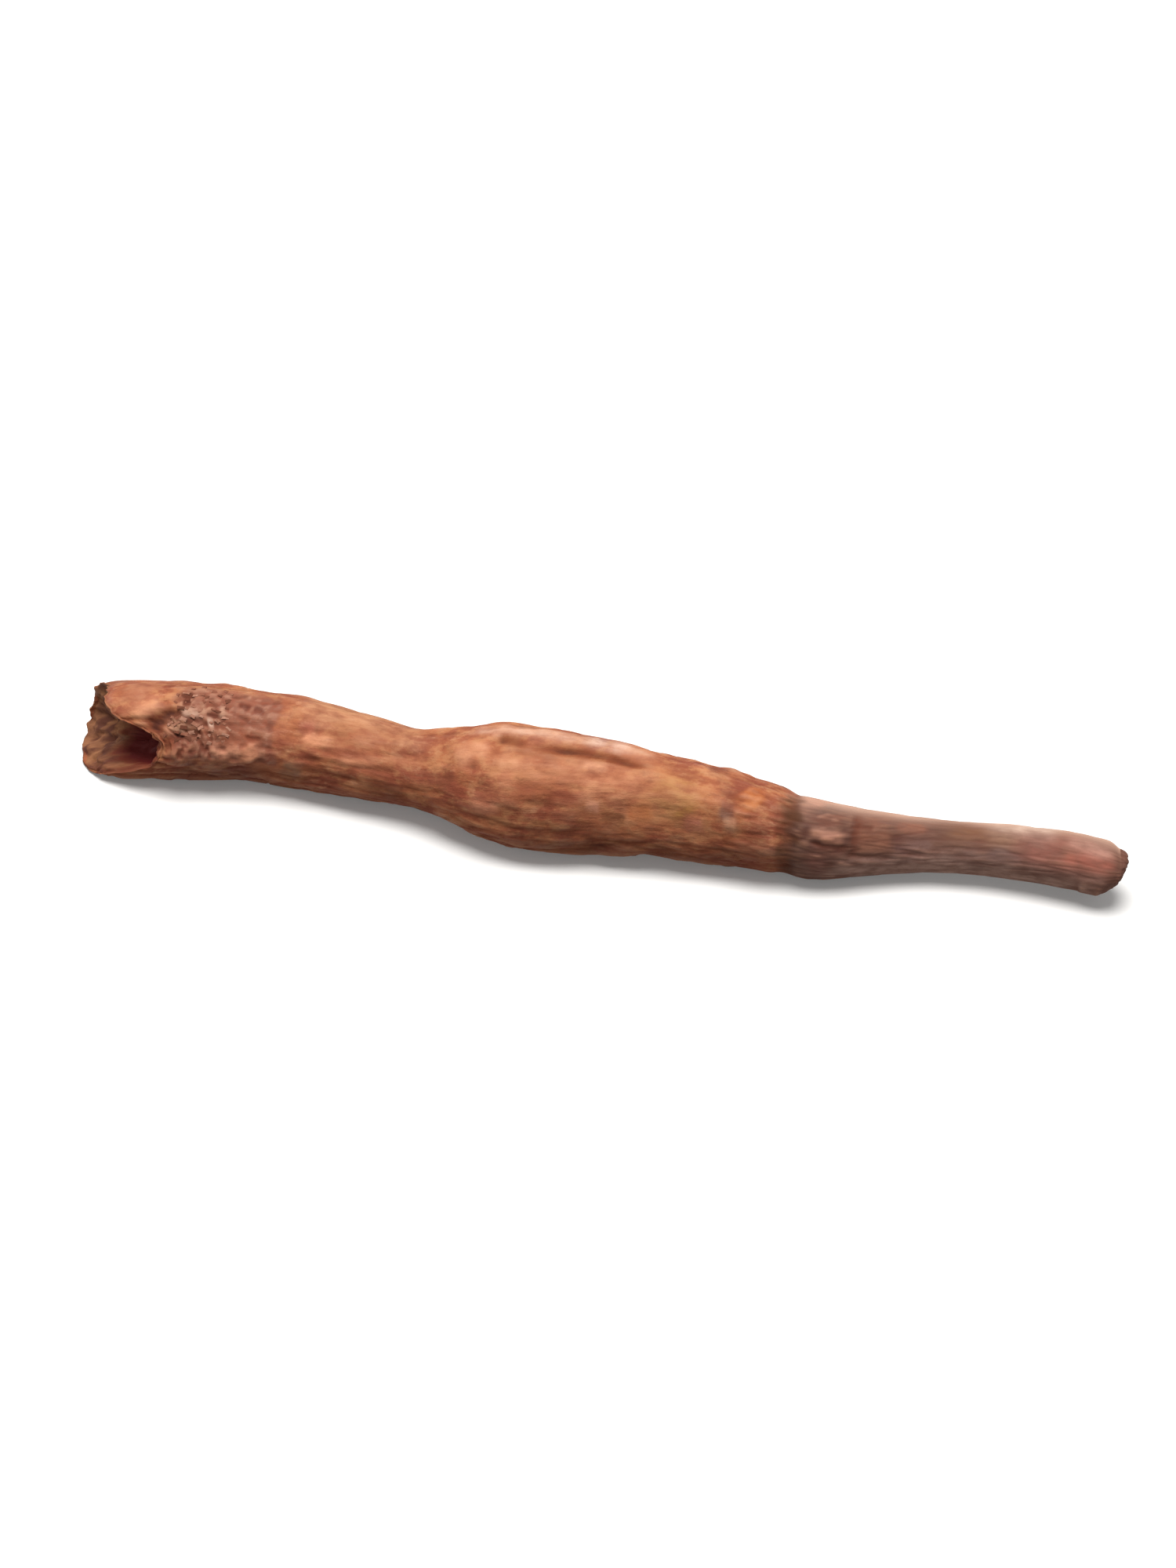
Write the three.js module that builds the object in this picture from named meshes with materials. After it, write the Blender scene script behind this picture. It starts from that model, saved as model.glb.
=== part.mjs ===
// Dried manjistha root (Rubia cordifolia): one loose length, as broken and cut for sale.
// Millimetres. +X runs to the thin end, +Z is up, and the root lies on its own flattened underside.
// It grew as one piece, so it is one closed solid: a lathe of unit rings, bent and swelled along its length.
import * as THREE from "three";
import { mergeVertices } from "three/addons/utils/BufferGeometryUtils.js";

// Driving dimensions
const rootLength = 96;
const ringSegments = 30;
const ringSpacing = 1.45;
const degree = Math.PI / 180;

// The growth line. Each row: distance from the broken end, sideways bend, height of the core, radius.
const growth = [
  [0, 0.25, 4.55, 4.35],
  [3, 0.55, 4.55, 4.7],
  [8, 1.35, 4.45, 4.75],
  [15, 2.0, 4.3, 4.5],
  [23, 1.1, 4.45, 4.35],
  [30.3, -0.3, 4.5, 3.9],
  [34.3, -0.9, 5.1, 4.6],
  [38, -1.5, 5.4, 5.45],
  [42, -1.75, 5.45, 5.65],
  [48, -1.2, 5.2, 5.3],
  [55, -1.15, 4.95, 4.7],
  [62, -1.45, 4.6, 4.1],
  [68, -1.95, 4.2, 3.55],
  [74, -0.7, 3.65, 2.85],
  [79, 0.2, 3.45, 2.4],
  [86, 0.65, 3.55, 2.4],
  [91.5, 0.25, 3.75, 2.6],
  [94.5, -0.1, 3.7, 2.5],
  [96, -0.35, 3.6, 2.25],
];

// The broken end: torn off aslant, so its low back wall stands furthest out, with a notch torn into
// its front under the top lip, and hollowed by rot.
const breakSet = -1.6;
const breakReach = 1.9;
const breakFacing = 212 * degree;
const notchDepth = 6.3;
const notchTop = [30 * degree, 60 * degree];
const notchFoot = [95 * degree, 165 * degree];
const breakFade = 20;
const hollowDepth = 2.6;
const hollowPower = 2.2;
const breakRings = [0, 0.3, 0.55, 0.76, 0.92];

// The cut end: nearly square, a little domed, with a worn rim.
const cutSlant = 0.7;
const cutFacing = 20 * degree;
const cutFade = 5;
const cutDome = 0.35;
const cutRings = [0.94, 0.66, 0.33, 0];

// Folds that run along the dried root, as shares of its radius. They twist slowly with its length.
const folds = [
  { count: 2, share: 0.045, start: 35 * degree, twist: 0.6 * degree },
  { count: 3, share: 0.03, start: 80 * degree, twist: -1.1 * degree },
  { count: 5, share: 0.026, start: 10 * degree, twist: 0.9 * degree },
];

// Raised (positive) and sunken (negative) places on the surface.
// around is measured from the top towards -Y. reach is half the size along, width half the angle.
const features = [
  { name: "top ridge", along: 43.5, around: -10 * degree, reach: 9.5, width: 15 * degree, height: 0.6 },
  { name: "ridge furrow", along: 46, around: 11 * degree, reach: 7, width: 9 * degree, height: -0.4 },
  { name: "lower lip", along: 0.4, around: 142 * degree, reach: 2.6, width: 28 * degree, height: 0.65 },
  { name: "shoulder crease", along: 32.5, around: 30 * degree, reach: 1.6, width: 40 * degree, height: -0.3 },
  { name: "crusty patch", along: 10, around: 22 * degree, reach: 6, width: 34 * degree, height: 0.3 },
  { name: "waist hollow", along: 21, around: 95 * degree, reach: 8, width: 30 * degree, height: -0.3 },
  { name: "waist underside", along: 32, around: 126 * degree, reach: 5, width: 34 * degree, height: -0.5 },
  { name: "rootlet scar", along: 59, around: 46 * degree, reach: 1.8, width: 18 * degree, height: 0.28 },
  { name: "back swelling", along: 51, around: 250 * degree, reach: 9, width: 45 * degree, height: 0.4 },
  { name: "back hollow", along: 18, around: 260 * degree, reach: 6, width: 32 * degree, height: -0.4 },
];

// The old node where the thick root steps down to its thin runner.
const nodeAlong = 66.2;
const nodeDepth = 0.28;
const nodeReach = 0.9;

const growthLine = new THREE.CubicInterpolant(
  growth.map((row) => row[0]),
  growth.flatMap((row) => row.slice(1)),
  3,
  new Float32Array(3),
);

function coreAt(along) {
  const [side, height, radius] = growthLine.evaluate(THREE.MathUtils.clamp(along, 0, rootLength));
  return { side, height, radius };
}

function bell(distance, reach) {
  return Math.exp(-((distance / reach) ** 2));
}

function angleBetween(a, b) {
  return Math.atan2(Math.sin(a - b), Math.cos(a - b));
}

function skinRadius(along, around) {
  let radius = coreAt(along).radius;
  for (const fold of folds) {
    const phase = fold.count * (around - fold.start) + fold.twist * fold.count * along;
    radius *= 1 + fold.share * Math.cos(phase);
  }
  for (const spot of features) {
    const turned = angleBetween(around, spot.around);
    radius += spot.height * bell(along - spot.along, spot.reach) * bell(turned, spot.width);
  }
  return radius - nodeDepth * bell(along - nodeAlong, nodeReach);
}

// How far the broken rim stands from square, in its slant and in its notch.
function rimShift(around) {
  const { smoothstep, euclideanModulo } = THREE.MathUtils;
  const turn = euclideanModulo(around, 2 * Math.PI);
  const notch = smoothstep(turn, ...notchTop) * (1 - smoothstep(turn, ...notchFoot));
  return breakSet - breakReach * Math.cos(around - breakFacing) + notchDepth * notch;
}

// How far the surface is moved along the root by its two slanting ends.
// share is 0 at a ring's middle and 1 at its skin.
function endShift(along, around, share) {
  const nearBreak = Math.max(0, 1 - along / breakFade) ** 2;
  const nearCut = Math.max(0, 1 - (rootLength - along) / cutFade) ** 2;
  const slant = rimShift(around) * share * nearBreak;
  const hollow = along === 0 ? hollowDepth * (1 - share ** hollowPower) : 0;
  const cut = cutSlant * share * Math.cos(around - cutFacing) * nearCut;
  const dome = along === rootLength ? cutDome * (1 - share * share) : 0;
  return slant + hollow + cut + dome;
}

// Where a point of the unit lathe goes on the real root.
function onRoot(along, around, share) {
  const core = coreAt(along);
  const ahead = coreAt(Math.min(along + 0.5, rootLength));
  const behind = coreAt(Math.max(along - 0.5, 0));
  const forward = new THREE.Vector3(1, ahead.side - behind.side, ahead.height - behind.height).normalize();
  const left = new THREE.Vector3(0, 0, 1).cross(forward).normalize();
  const up = forward.clone().cross(left);
  const radius = skinRadius(along, around) * share;
  const point = new THREE.Vector3(along, core.side, core.height)
    .addScaledVector(up, radius * Math.cos(around))
    .addScaledVector(left, -radius * Math.sin(around))
    .addScaledVector(forward, endShift(along, around, share));
  point.z = Math.max(point.z, 0);
  return point;
}

// The unit profile: x is the share of the radius, y the distance from the broken end.
function unitProfile() {
  const steps = Math.round(rootLength / ringSpacing);
  const skin = Array.from({ length: steps + 1 }, (_, i) => new THREE.Vector2(1, (rootLength * i) / steps));
  return [
    ...breakRings.map((share) => new THREE.Vector2(share, 0)),
    ...skin,
    ...cutRings.map((share) => new THREE.Vector2(share, rootLength)),
  ];
}

function rootGeometry() {
  const lathe = new THREE.LatheGeometry(unitProfile(), ringSegments);
  lathe.deleteAttribute("normal");
  lathe.deleteAttribute("uv");
  const position = lathe.getAttribute("position");
  for (let i = 0; i < position.count; i += 1) {
    const x = position.getX(i);
    const z = position.getZ(i);
    const point = onRoot(position.getY(i), Math.atan2(x, z), Math.hypot(x, z));
    position.setXYZ(i, point.x, point.y, point.z);
  }
  const closed = mergeVertices(lathe, 1e-4);
  closed.computeBoundingBox();
  const middle = closed.boundingBox.getCenter(new THREE.Vector3());
  closed.translate(-middle.x, -middle.y, 0);
  closed.computeVertexNormals();
  return closed;
}

const bark = new THREE.MeshStandardMaterial({ color: 0xa6694b, roughness: 0.85, metalness: 0 });
const root = new THREE.Mesh(rootGeometry(), bark);
root.name = "manjistha_root";

const group = new THREE.Group();
group.add(root);

export default group;
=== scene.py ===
import math

import bpy
import numpy as np
from mathutils import Euler, Matrix, Vector, noise
from mathutils.bvhtree import BVHTree


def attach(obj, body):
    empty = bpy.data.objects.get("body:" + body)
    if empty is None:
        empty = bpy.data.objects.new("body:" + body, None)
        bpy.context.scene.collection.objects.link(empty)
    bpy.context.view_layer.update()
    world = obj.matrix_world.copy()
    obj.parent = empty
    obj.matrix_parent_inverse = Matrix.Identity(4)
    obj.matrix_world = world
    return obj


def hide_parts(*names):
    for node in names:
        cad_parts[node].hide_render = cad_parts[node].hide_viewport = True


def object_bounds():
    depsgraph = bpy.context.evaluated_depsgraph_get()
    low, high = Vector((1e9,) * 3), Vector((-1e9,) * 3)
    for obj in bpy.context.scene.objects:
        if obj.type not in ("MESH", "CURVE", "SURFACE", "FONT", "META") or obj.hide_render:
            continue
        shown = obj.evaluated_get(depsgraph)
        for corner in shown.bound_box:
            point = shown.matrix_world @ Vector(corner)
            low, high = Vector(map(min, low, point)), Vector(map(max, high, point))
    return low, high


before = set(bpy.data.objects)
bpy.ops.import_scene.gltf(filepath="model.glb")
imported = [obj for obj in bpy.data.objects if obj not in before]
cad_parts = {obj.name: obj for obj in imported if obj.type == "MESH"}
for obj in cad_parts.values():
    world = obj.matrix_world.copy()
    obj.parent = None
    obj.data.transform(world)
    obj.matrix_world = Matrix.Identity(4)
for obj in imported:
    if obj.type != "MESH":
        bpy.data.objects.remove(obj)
cadLow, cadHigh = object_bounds()

mm = 0.001
rootNode = "manjistha_root"


def linearColour(hexCode):
    # sRGB hex to the linear values that Blender mixes
    parts = [int(hexCode[i:i + 2], 16) / 255 for i in (1, 3, 5)]
    return tuple(p / 12.92 if p <= 0.04045 else ((p + 0.055) / 1.055) ** 2.4 for p in parts) + (1.0,)


def addNode(tree, kind, inputs=None, ramp=None, **settings):
    # a node with its settings, its sockets filled or linked, and a colour ramp's stops if it has one
    node = tree.nodes.new(kind)
    for name, value in settings.items():
        setattr(node, name, value)
    for name, value in (inputs or {}).items():
        if isinstance(value, bpy.types.NodeSocket):
            tree.links.new(value, node.inputs[name])
        else:
            node.inputs[name].default_value = value
    if ramp:
        stops = node.color_ramp.elements
        while len(stops) < len(ramp):
            stops.new(1.0)
        for stop, (place, colour) in zip(stops, ramp):
            stop.position = place
            stop.color = linearColour(colour) if isinstance(colour, str) else (colour, colour, colour, 1)
    return node


def newMaterial(name):
    material = bpy.data.materials.new(name)
    material.use_nodes = True
    material.node_tree.nodes.clear()
    return material, material.node_tree


def selectOnly(piece):
    bpy.ops.object.select_all(action="DESELECT")
    piece.select_set(True)
    bpy.context.view_layer.objects.active = piece


def rise(low, high, x):
    t = np.clip((x - low) / (high - low), 0, 1)
    return t * t * (3 - 2 * t)


def zone(x, start, end, blend):
    return rise(start - blend, start + blend, x) * (1 - rise(end - blend, end + blend, x))


# the camera
viewpoint = {
    "azimuth": math.radians(11.6),     # a little round to the thin end's side
    "elevation": math.radians(40),     # looking down on it
    "lens": 100,                       # mm
    "frameShare": 0.92,                # how much of the picture's width the root fills
    "pictureShape": 1500 / 2000,       # width over height
    "near": 0.05, "far": 50,           # shares of its distance between which it sees
}


def setCamera(view):
    middle = (cadLow + cadHigh) / 2
    side, up = view["azimuth"], view["elevation"]
    back = Vector((math.sin(side) * math.cos(up), -math.cos(side) * math.cos(up), math.sin(up)))
    lens = bpy.data.cameras.new("camera")
    lens.lens = view["lens"]
    halfWidth = lens.sensor_width / 2 * view["pictureShape"] / lens.lens
    distance = (cadHigh.x - cadLow.x) / view["frameShare"] / (2 * halfWidth)
    lens.clip_start, lens.clip_end = distance * view["near"], distance * view["far"]
    camera = bpy.data.objects.new("camera", lens)
    camera.location = middle + back * distance
    camera.rotation_euler = (-back).to_track_quat("-Z", "Y").to_euler()
    bpy.context.scene.collection.objects.link(camera)
    bpy.context.scene.camera = camera


setCamera(viewpoint)
print("camera set")

# the root's form, from the CAD solid
rootForm = {
    "length": 96 * mm,                            # from the middle of the broken rim to the cut one
    "sides": 24,                                  # faces round the root before it is subdivided
    "stations": 52,                               # rings from the broken rim to the cut rim
    "closer": ((-1, 15.5, 1.4), (63, 71, 0.7), (93, 97, 1.6)),   # mm from, mm to, how much closer they stand
    "closerBlend": 1.5,                           # mm over which they close up
    "breakRings": (0.93, 0.78, 0.58, 0.32),       # rings of the broken face, as shares of the radius
    "cutRings": (0.93, 0.66, 0.33),               # rings of the cut face
    "breakFade": 20 * mm,                         # how far the slant of the break runs along the bark
    "cutFade": 5 * mm,
    "brokenPart": 12 * mm,                        # past this far from the box's end every section is whole
    "cutPart": 3 * mm,
    "reach": 20 * mm,                             # rays start this far outside the root
    "coreHeight": 4.5 * mm,                       # about where the core runs, to start from
    "sections": 60, "brokenSections": 12,         # where the core is measured
    "rounds": 4,                                  # how often each section is centred anew
    "leastRadius": 0.84, "leastFacing": 0.3,      # below these a ray has met the break and not the bark
    "halvings": 12,                               # steps in the search for a rim
    "subdivisions": 3,
}


def solidTree():
    # a merged copy of the CAD node, for measuring only
    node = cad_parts[rootNode]
    copied = bpy.data.objects.new("measuring_copy", node.data.copy())
    bpy.context.scene.collection.objects.link(copied)
    selectOnly(copied)
    bpy.ops.object.mode_set(mode="EDIT")
    bpy.ops.mesh.select_all(action="SELECT")
    bpy.ops.mesh.remove_doubles(threshold=0.001 * mm)
    bpy.ops.object.mode_set(mode="OBJECT")
    tree = BVHTree.FromObject(copied, bpy.context.evaluated_depsgraph_get())
    bpy.data.objects.remove(copied)
    return tree


def outward(around):
    # across the root, from the top towards -Y
    return Vector((0, -math.sin(around), math.cos(around)))


class Solid:
    # the CAD solid as rays find it: its core, its skin, and the rims of its broken (-1) and cut (1) ends
    def __init__(self, form):
        self.tree = solidTree()
        self.form = form
        self.spokes = [2 * math.pi * i / form["sides"] for i in range(form["sides"])]
        whole = np.linspace(cadLow.x + form["brokenPart"], cadHigh.x - form["cutPart"], form["sections"])
        core, centre = [], Vector((0, 0, form["coreHeight"]))
        for x in whole:
            for _ in range(form["rounds"]):
                met = [self.cast(x, centre, spoke)[0] for spoke in self.spokes]
                centre = sum(met, Vector()) / len(met)
            core.append((centre.y, centre.z))
        self.whole = (whole[0], whole[-1])
        self.stations, self.core = whole, np.array(core)
        self.followBrokenPart()
        slope = (self.core[-1] - self.core[-5]) / (whole[-1] - whole[-5])
        self.stations = np.append(self.stations, cadHigh.x)
        self.core = np.vstack([self.core, self.core[-1] + slope * form["cutPart"]])
        self.rims = {end: [self.rim(spoke, end) for spoke in self.spokes] for end in (-1, 1)}
        self.middles = {end: sum(rim, Vector()) / len(rim) for end, rim in self.rims.items()}
        self.cutX = self.middles[1].x
        self.breakX = self.cutX - form["length"]

    def followBrokenPart(self):
        # on towards the break the core is judged from the spokes that still meet bark
        for x in np.linspace(self.whole[0], cadLow.x, self.form["brokenSections"] + 1)[1:]:
            centre = self.centre(x)
            for _ in range(self.form["rounds"]):
                met = [(spoke, self.skin(x, spoke, centre)) for spoke in self.spokes]
                gaps = [hit - centre - outward(spoke) * self.radius(x, spoke) for spoke, hit in met if hit]
                centre += 2 * sum(gaps, Vector()) / max(len(gaps), 1)
                centre.x = x
            self.stations = np.insert(self.stations, 0, x)
            self.core = np.vstack([[(centre.y, centre.z)], self.core])

    def centre(self, x):
        return Vector((x, np.interp(x, self.stations, self.core[:, 0]),
                       np.interp(x, self.stations, self.core[:, 1])))

    def cast(self, x, centre, around):
        start = Vector((x, centre.y, centre.z)) + outward(around) * self.form["reach"]
        return self.tree.ray_cast(start, -outward(around))[:2]

    def skin(self, x, around, centre=None):
        # the bark at x, or None past a rim, where a ray flies through the break or over the end
        centre = centre or self.centre(x)
        hit, normal = self.cast(x, centre, around)
        least = self.form["leastRadius"] * self.radius(x, around)
        out = outward(around)
        if hit and normal.dot(out) > self.form["leastFacing"] and (hit - centre).dot(out) > least:
            return hit
        return None

    def radius(self, x, around):
        inner = min(max(x, self.whole[0]), self.whole[1])
        centre = self.centre(inner)
        return (self.cast(inner, centre, around)[0] - centre).length

    def rim(self, around, end):
        inside, outside = (self.whole[0], cadLow.x) if end < 0 else (self.whole[1], cadHigh.x)
        for _ in range(self.form["halvings"]):
            between = (inside + outside) / 2
            if self.skin(between, around):
                inside = between
            else:
                outside = between
        return self.skin(inside, around)

    def face(self, spoke, share, end):
        # where a line along the root, at that share of the way out to the rim, meets the end face
        spot = self.middles[end].lerp(self.rims[end][spoke], share)
        spot.x = cadLow.x - self.form["reach"] if end < 0 else cadHigh.x + self.form["reach"]
        return self.tree.ray_cast(spot, Vector((-end, 0, 0)))[0]


def straightCage(form):
    # a tube of unit radius, one unit between rings, closed by a few rings and a pole at each end
    bpy.ops.object.select_all(action="DESELECT")
    bpy.ops.mesh.primitive_circle_add(vertices=form["sides"], radius=1, rotation=(0, math.pi / 2, 0))
    bpy.ops.object.transform_apply(location=True, rotation=True, scale=True)
    cage = bpy.context.object
    cage.name = cage.data.name = "root_bark"
    bpy.ops.object.mode_set(mode="EDIT")
    bpy.ops.mesh.select_all(action="SELECT")
    for _ in range(form["stations"]):
        bpy.ops.mesh.extrude_region_move(TRANSFORM_OT_translate={"value": (1, 0, 0)})
    closeEnd(form["cutRings"], form["stations"])
    bpy.ops.mesh.select_all(action="DESELECT")
    bpy.ops.object.mode_set(mode="OBJECT")
    for vertex in cage.data.vertices:
        vertex.select = vertex.co.x < 0.5
    bpy.ops.object.mode_set(mode="EDIT")
    closeEnd(form["breakRings"], 0)
    bpy.ops.mesh.select_all(action="SELECT")
    bpy.ops.mesh.normals_make_consistent(inside=False)
    bpy.ops.object.mode_set(mode="OBJECT")
    return cage


def closeEnd(rings, x):
    before = 1
    for share in rings:
        bpy.ops.mesh.extrude_region_move(TRANSFORM_OT_translate={"value": (0, 0, 0)})
        bpy.ops.transform.resize(value=(1, share / before, share / before), center_override=(x, 0, 0))
        before = share
    bpy.ops.mesh.extrude_region_move(TRANSFORM_OT_translate={"value": (0, 0, 0)})
    bpy.ops.mesh.merge(type="CENTER")


def fitCage(cage, solid, form):
    # each ring of the tube is laid on the CAD solid, and keeps its straightened place in mm as "grain"
    last = form["stations"]
    length = form["length"]
    fine = np.linspace(0, length, 2000)
    density = 1 + sum(amount * zone(fine / mm, start, end, form["closerBlend"])
                      for start, end, amount in form["closer"])
    travelled = np.concatenate([[0], np.cumsum((density[1:] + density[:-1]) / 2)])
    places = np.interp(np.arange(last + 1) / last * travelled[-1], travelled, fine)
    cage.data.attributes.new("grain", "FLOAT_VECTOR", "POINT")
    cage.data.attributes.new("endFace", "FLOAT", "POINT")
    grain, face = cage.data.attributes["grain"], cage.data.attributes["endFace"]
    for i, vertex in enumerate(cage.data.vertices):
        ring, share = round(vertex.co.x), math.hypot(vertex.co.y, vertex.co.z)
        around = math.atan2(-vertex.co.y, vertex.co.z)
        spoke = round(around / (2 * math.pi) * form["sides"]) % form["sides"]
        along = places[ring]
        if share < 0.99:
            end = -1 if ring == 0 else 1
            vertex.co = solid.face(spoke, share, end)
            along += end * (1 - share) * solid.radius(solid.breakX, around)
            face.data[i].value = end * (1 - share)
        else:
            broken, cut = solid.rims[-1][spoke], solid.rims[1][spoke]
            nearBreak = max(0, 1 - along / form["breakFade"]) ** 2
            nearCut = max(0, 1 - (length - along) / form["cutFade"]) ** 2
            x = solid.breakX + along
            x += nearBreak * (broken.x - solid.breakX) + nearCut * (cut.x - solid.cutX)
            vertex.co = broken if ring == 0 else cut if ring == last else solid.skin(x, around)
        radius = solid.radius(solid.breakX + min(max(along, 0), length), around) * share
        straight = outward(around) * (radius / mm)
        straight.x = along / mm
        grain.data[i].vector = straight


def subdivideRoot(cage, form):
    selectOnly(cage)
    smoother = cage.modifiers.new("even skin", "SUBSURF")
    smoother.levels = smoother.render_levels = form["subdivisions"]
    bpy.ops.object.modifier_apply(modifier=smoother.name)
    bpy.ops.object.shade_smooth()


solid = Solid(rootForm)
root = straightCage(rootForm)
fitCage(root, solid, rootForm)
subdivideRoot(root, rootForm)
print("root form laid on the solid:", len(root.data.polygons), "faces")


# the relief of its bark and broken wood
def readAttribute(piece, name, width=1):
    kind = "vector" if width == 3 else "value"
    values = np.empty(len(piece.data.vertices) * width, np.float32)
    piece.data.attributes[name].data.foreach_get(kind, values)
    return values.reshape(-1, width).astype(float) if width > 1 else values.astype(float)


def writeAttribute(piece, name, values):
    made = piece.data.attributes.new(name, "FLOAT", "POINT")
    made.data.foreach_set("value", np.asarray(values, np.float32))


def bell(distance):
    return np.exp(-distance ** 2)


def turned(around, middle):
    # the angle from middle, in degrees, the short way round
    return (around - middle + 180) % 360 - 180


class Skin:
    # the root's vertices in its straightened frame: mm along, degrees around, mm from the core
    def __init__(self, piece):
        self.grain = readAttribute(piece, "grain", 3)
        self.face = readAttribute(piece, "endFace")
        self.along = self.grain[:, 0]
        self.around = np.degrees(np.arctan2(-self.grain[:, 1], self.grain[:, 2]))
        self.radius = np.hypot(self.grain[:, 1], self.grain[:, 2])
        self.edges = np.empty(len(piece.data.edges) * 2, np.int32)
        piece.data.edges.foreach_get("vertices", self.edges)
        self.edges = self.edges.reshape(-1, 2)
        self.count = len(self.grain)

    def noise(self, length, width, seed, twist=0.0):
        # smooth noise, -1 to 1, whose blobs are length by width mm along and round the root
        shift = Vector((seed * 17.3, seed * 5.9, -seed * 11.1))
        turn = np.radians(twist) * self.along
        y = self.grain[:, 1] * np.cos(turn) - self.grain[:, 2] * np.sin(turn)
        z = self.grain[:, 1] * np.sin(turn) + self.grain[:, 2] * np.cos(turn)
        points = np.stack([self.along / length, y / width, z / width], 1).tolist()
        return np.array([noise.noise(Vector(p) + shift) for p in points])

    def blurred(self, values, rounds):
        a, b = self.edges.T
        degree = np.bincount(a, minlength=self.count) + np.bincount(b, minlength=self.count)
        for _ in range(rounds):
            total = np.bincount(a, values[b], self.count) + np.bincount(b, values[a], self.count)
            values = (values + total) / (degree + 1)
        return values

    def stroke(self, path, width, taper=0.25):
        # 1 on a line drawn along and round the root, falling to 0 over width mm, thinner at its two ends
        best = np.zeros(self.count)
        localRadius = np.maximum(self.radius, 0.5)
        lengths = [math.dist(a, b) for a, b in zip(path, path[1:])]
        total, done = sum(lengths), 0.0
        for (s0, r0), (s1, r1), span in zip(path, path[1:], lengths):
            px = self.along - s0
            py = np.radians(turned(self.around, r0)) * localRadius
            dx = s1 - s0
            dy = np.radians(turned(r1, r0)) * localRadius
            t = np.clip((px * dx + py * dy) / (dx * dx + dy * dy + 1e-9), 0, 1)
            away = np.hypot(px - t * dx, py - t * dy)
            share = (done + t * span) / total
            pressure = rise(0, taper, share) * rise(0, taper, 1 - share)
            best = np.maximum(best, bell(away / width) * pressure)
            done += span
        return best * (self.face == 0)


skin = Skin(root)

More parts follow.
